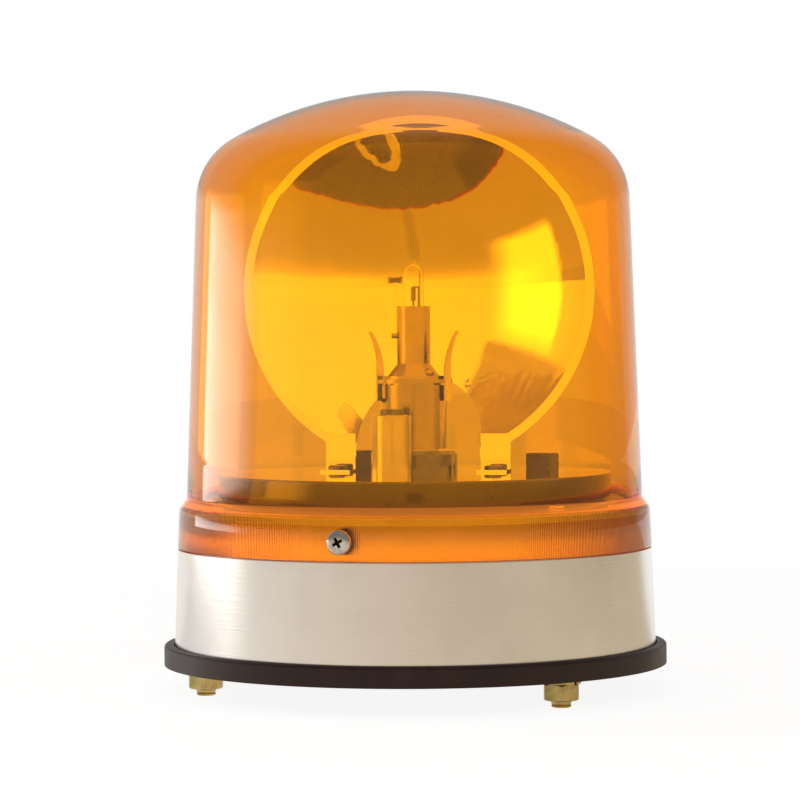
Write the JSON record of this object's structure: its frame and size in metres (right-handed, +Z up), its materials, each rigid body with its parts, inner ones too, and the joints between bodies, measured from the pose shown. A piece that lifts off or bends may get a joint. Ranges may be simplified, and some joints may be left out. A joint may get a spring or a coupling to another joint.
{
  "type": "rotating beacon",
  "caption": "Amber rotating warning beacon with a motor-driven mirror on a turntable round a fixed lamp, stud-mounted base.",
  "frame": {"origin": "centre of the mounting face, the underside of the rubber pad, at the mouth of the cable inlet", "axes": "+Z up along the beacon's axis, -Y towards the front of the picture, +X to its right"},
  "size_m": [0.1544, 0.1544, 0.184],
  "materials": {
    "pad_rubber": "matte moulded rubber",
    "base_steel": "satin, brushed round",
    "zinc_steel": "bright zinc plate",
    "yellow_zinc": "yellow passivated zinc",
    "black_rubber": "matte",
    "amber_lens": "clear amber moulding",
    "bright_screw": "bright plated",
    "turned_steel": "turned",
    "white_plastic": "natural acetal",
    "motor_steel": "plated can",
    "black_plastic": "moulded",
    "terminal_plastic": "moulded",
    "table_plastic": "glossy moulded",
    "bush_bronze": "sintered",
    "mirror_dish": "polished and coated",
    "weight_brass": "turned",
    "lamp_base_ceramic": "unglazed",
    "tower_steel": "drawn and plated",
    "spring_steel": "spring strip",
    "lamp_metal": "plated lamp cap",
    "quartz_glass": "clear quartz",
    "tungsten": "coiled wire",
    "lead_cover": "wire cover"
  },
  "bodies": {
    "base": {"rubber_pad": "pad_rubber", "base_floor": "base_steel", "base_shell": "base_steel", "neck_nuts": "zinc_steel", "mounting_studs": "yellow_zinc", "stud_sleeves": "zinc_steel", "spring_washers": "yellow_zinc", "mounting_nuts": "yellow_zinc", "cable_grommet": "black_rubber", "dome_lens": "amber_lens", "lens_screws": "bright_screw", "lens_gasket": "black_rubber", "chassis_plate": "zinc_steel", "chassis_screws": "bright_screw", "spindle": "turned_steel", "spindle_nut": "zinc_steel", "thrust_washer": "white_plastic", "retaining_clip": "turned_steel", "motor_can": "motor_steel", "motor_end_cap": "black_plastic", "motor_screws": "bright_screw", "terminal_block": "terminal_plastic", "terminal_screws": "bright_screw", "lamp_base": "lamp_base_ceramic", "lamp_tower": "tower_steel", "holder_ring": "tower_steel", "lamp_cap": "lamp_metal", "lamp_capsule": "quartz_glass", "lamp_filament": "tungsten", "lamp_lead": "lead_cover"},
    "rotor": {"turntable": "table_plastic", "hub_bush": "bush_bronze", "reflector": "mirror_dish", "reflector_screws": "bright_screw", "counterweight": "weight_brass", "counterweight_screw": "bright_screw", "balance_blocks": "black_plastic"},
    "pinion": {"motor_shaft": "turned_steel", "drive_pinion": "white_plastic"},
    "left_spring": {"left_spring": "spring_steel"},
    "right_spring": {"right_spring": "spring_steel"}
  },
  "joints": [
    {"name": "turntable_spin", "type": "hinge", "parent": "base", "child": "rotor", "pos_m": [0, 0, 0.0576], "axis": [0, 0, 1], "continuous": true},
    {"name": "pinion_spin", "type": "hinge", "parent": "base", "child": "pinion", "pos_m": [0.023, 0.03984, 0.05], "axis": [0, 0, 1], "continuous": true},
    {"name": "left_spring_flex", "type": "hinge", "parent": "base", "child": "left_spring", "pos_m": [-0.01033, 0.00296, 0.0805], "axis": [-0.2756, -0.9613, 0], "range_deg": [0, 8], "stiffness_Nm_per_rad": 0.05},
    {"name": "right_spring_flex", "type": "hinge", "parent": "base", "child": "right_spring", "pos_m": [0.01033, -0.00296, 0.0805], "axis": [0.2756, 0.9613, 0], "range_deg": [0, 8], "stiffness_Nm_per_rad": 0.05}
  ],
  "couplings": [
    {"joint": "pinion_spin", "follows": "turntable_spin", "ratio": 8.6667}
  ]
}
